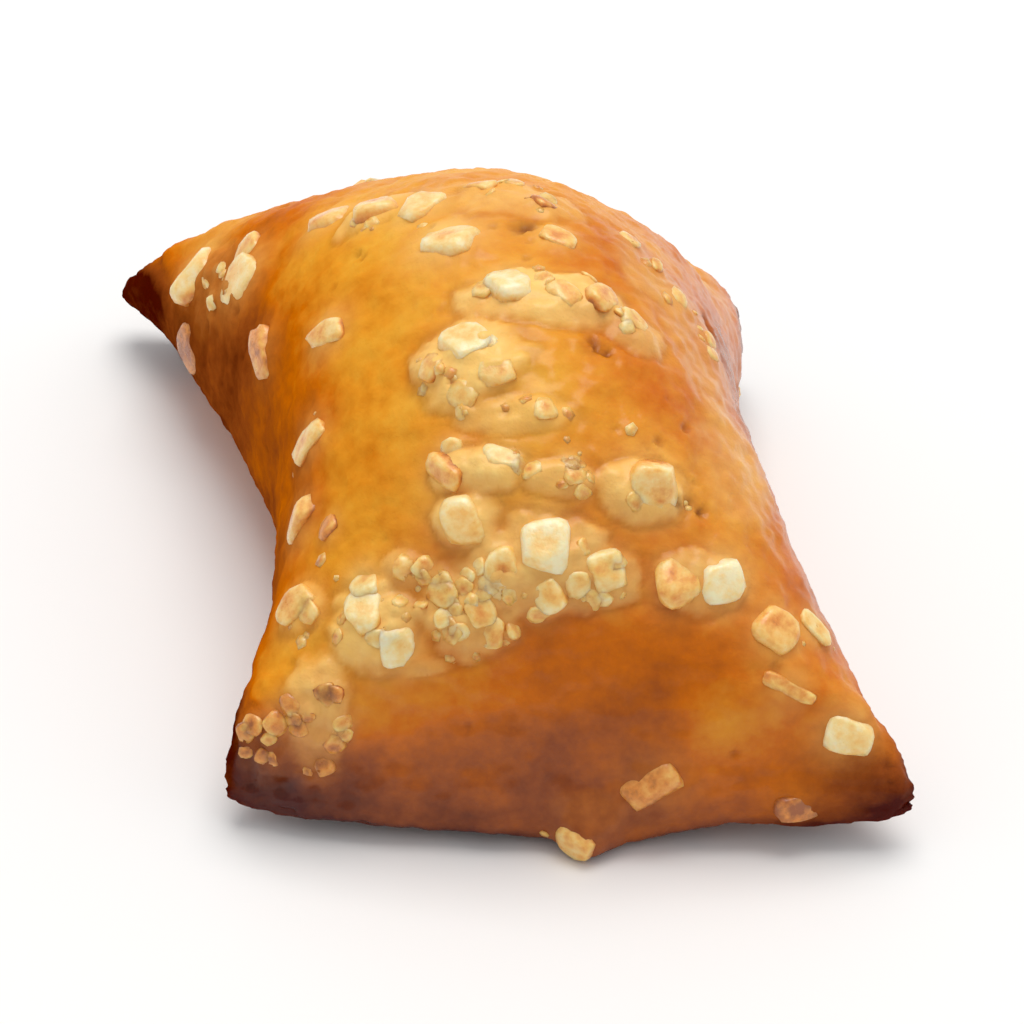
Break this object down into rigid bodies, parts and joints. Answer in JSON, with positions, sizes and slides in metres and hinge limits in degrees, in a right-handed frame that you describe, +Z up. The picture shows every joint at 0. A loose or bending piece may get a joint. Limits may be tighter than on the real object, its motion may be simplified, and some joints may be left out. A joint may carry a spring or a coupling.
{
  "type": "filled pretzel nugget",
  "caption": "Bite-sized pillow of pretzel dough, pinched shut along both ends with flared corners, a narrow waist and a domed, salted crown.",
  "frame": {"origin": "middle of the footprint, on the surface that the nugget rests on", "axes": "+Y along the nugget from its near pinched end to its far one, +X across it to the right, +Z up through the domed crown"},
  "size_m": [0.0228, 0.0264, 0.013],
  "materials": {
    "baked_crust": "baked dough with a thin shiny pretzel glaze, golden on the crown and dark brown at the pinched ends"
  },
  "bodies": {
    "root": {"nugget": "baked_crust"}
  },
  "joints": []
}
